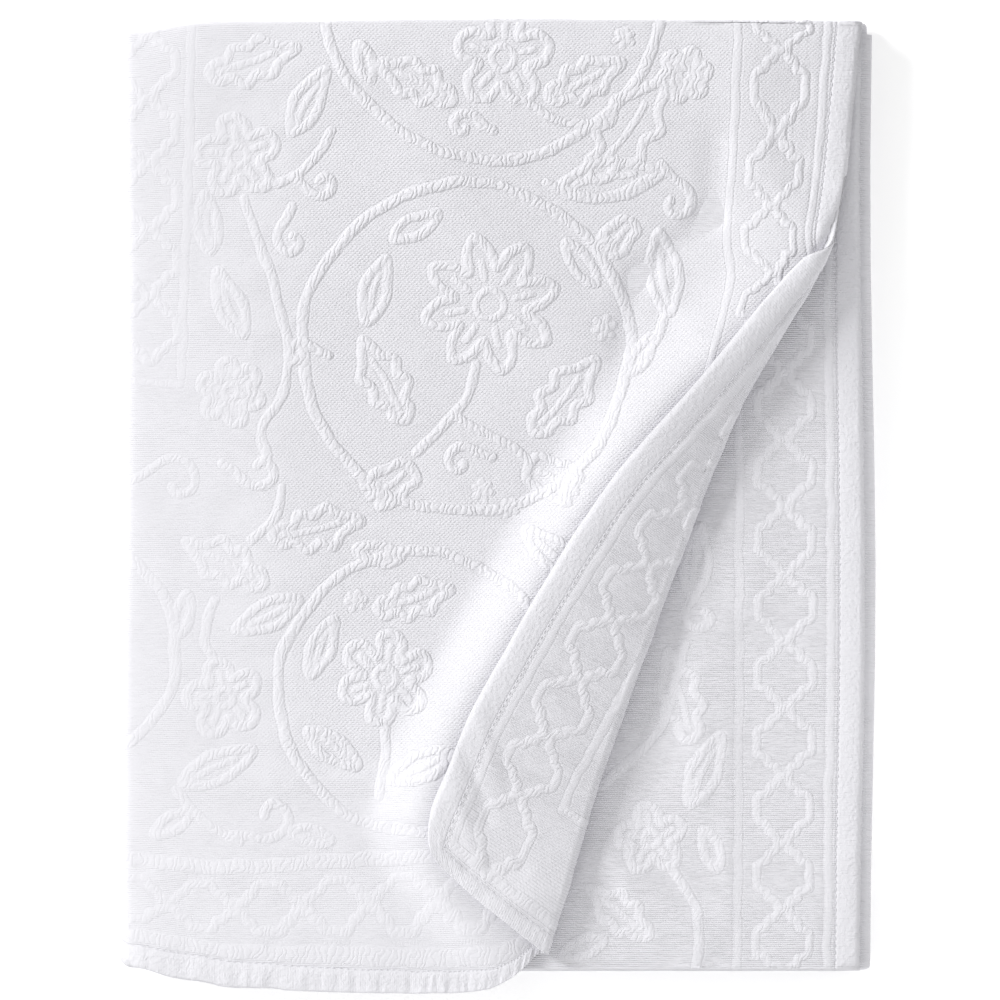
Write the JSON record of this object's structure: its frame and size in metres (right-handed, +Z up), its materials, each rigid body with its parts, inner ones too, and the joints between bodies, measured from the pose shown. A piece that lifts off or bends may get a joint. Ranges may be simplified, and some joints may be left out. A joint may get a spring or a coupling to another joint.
{
  "type": "matelasse coverlet",
  "caption": "White cotton matelasse coverlet folded to a flat packet, with one corner of its top layer turned back; raised ring medallions, cord lines and a lozenge border",
  "frame": {"origin": "Centre of the bounding box in plan, at the underside that lies on the surface", "axes": "+X across the packet from its left fold to the side hem, +Y along it from the bottom hem to the top fold, +Z up out of the surface it lies on"},
  "size_m": [0.4518, 0.5802, 0.0508],
  "materials": {
    "cotton": "matt white cotton matelasse, woven in relief"
  },
  "bodies": {
    "root": {"coverlet": "cotton"}
  },
  "joints": []
}
